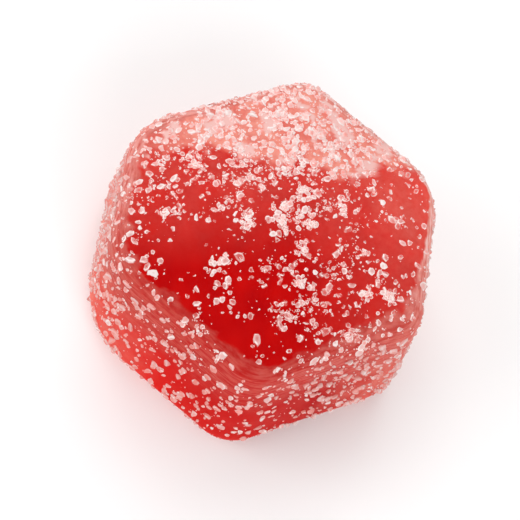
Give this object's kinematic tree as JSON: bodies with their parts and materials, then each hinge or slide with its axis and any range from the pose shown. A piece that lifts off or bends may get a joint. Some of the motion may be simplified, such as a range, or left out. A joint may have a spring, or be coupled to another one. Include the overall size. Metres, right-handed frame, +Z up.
{
  "type": "sugared fruit gummy",
  "caption": "Hexagonal fruit gummy sweet with rounded edges, tapering walls and a gently domed top, coated all over in coarse sugar; to be eaten by hand.",
  "frame": {"origin": "on the resting plane, under the middle of the sweet", "axes": "+Z up through the domed top, +X through an upright corner, -Y square to the front wall"},
  "size_m": [0.0227, 0.0208, 0.0126],
  "materials": {
    "jelly": "translucent deep red fruit jelly, satin, softly uneven",
    "sugar": "clear to milky sugar crystals with a fine sugar film between them"
  },
  "bodies": {
    "root": {"sugared_gummy": "jelly"}
  },
  "joints": []
}
